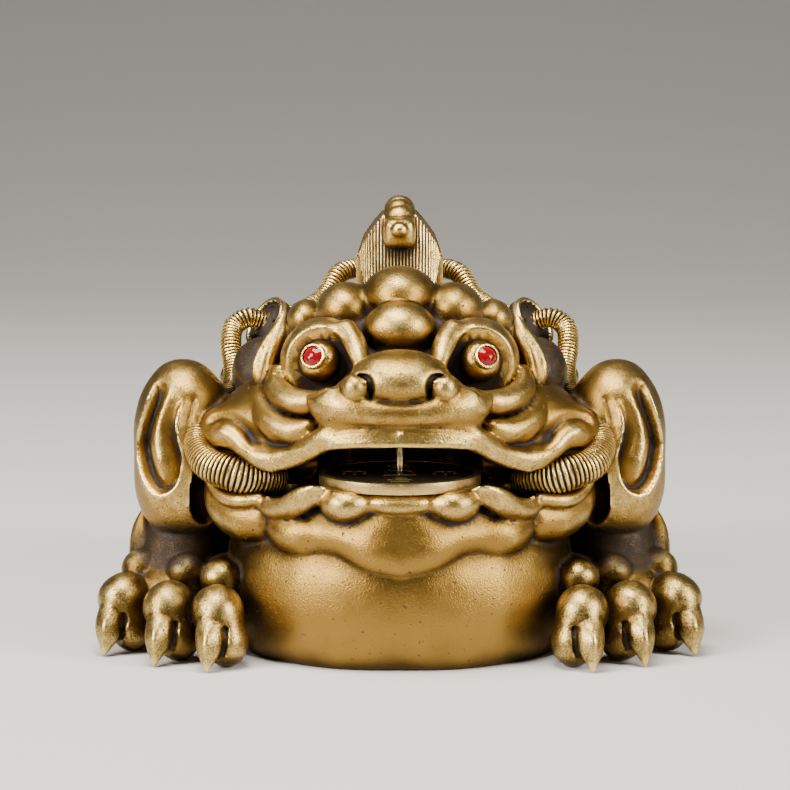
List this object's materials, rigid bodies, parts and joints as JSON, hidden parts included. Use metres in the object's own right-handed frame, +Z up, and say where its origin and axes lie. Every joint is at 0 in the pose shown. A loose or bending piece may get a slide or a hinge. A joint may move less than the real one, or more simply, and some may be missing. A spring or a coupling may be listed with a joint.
{
  "type": "money toad figure",
  "caption": "Cast brass toad with a dragon face, squatting on its belly, strings of coins over its shoulders and a coin that turns on a pin in its mouth.",
  "frame": {"origin": "on the ground, under the middle of the figure's bounding box", "axes": "+Z up; the toad looks along -Y; +X to the toad's own left"},
  "size_m": [0.1532, 0.1578, 0.1101],
  "materials": {
    "antique_brass": "satin brass, rubbed bright on the high parts and darkened brown-black in the hollows",
    "coin_brass": "satin brass with a darkened face and a bright rim",
    "pin_brass": "plain drawn brass, bright",
    "red_glass": "clear red faceted glass with a foiled back"
  },
  "bodies": {
    "toad": {"toad_casting": "antique_brass", "coin_pin": "pin_brass", "left_eye_gem": "red_glass", "right_eye_gem": "red_glass"},
    "coin": {"mouth_coin": "coin_brass"}
  },
  "joints": [
    {"name": "coin_spin", "type": "hinge", "parent": "toad", "child": "coin", "pos_m": [0, -0.05774, 0.0453], "axis": [0, 0, 1], "continuous": true}
  ]
}
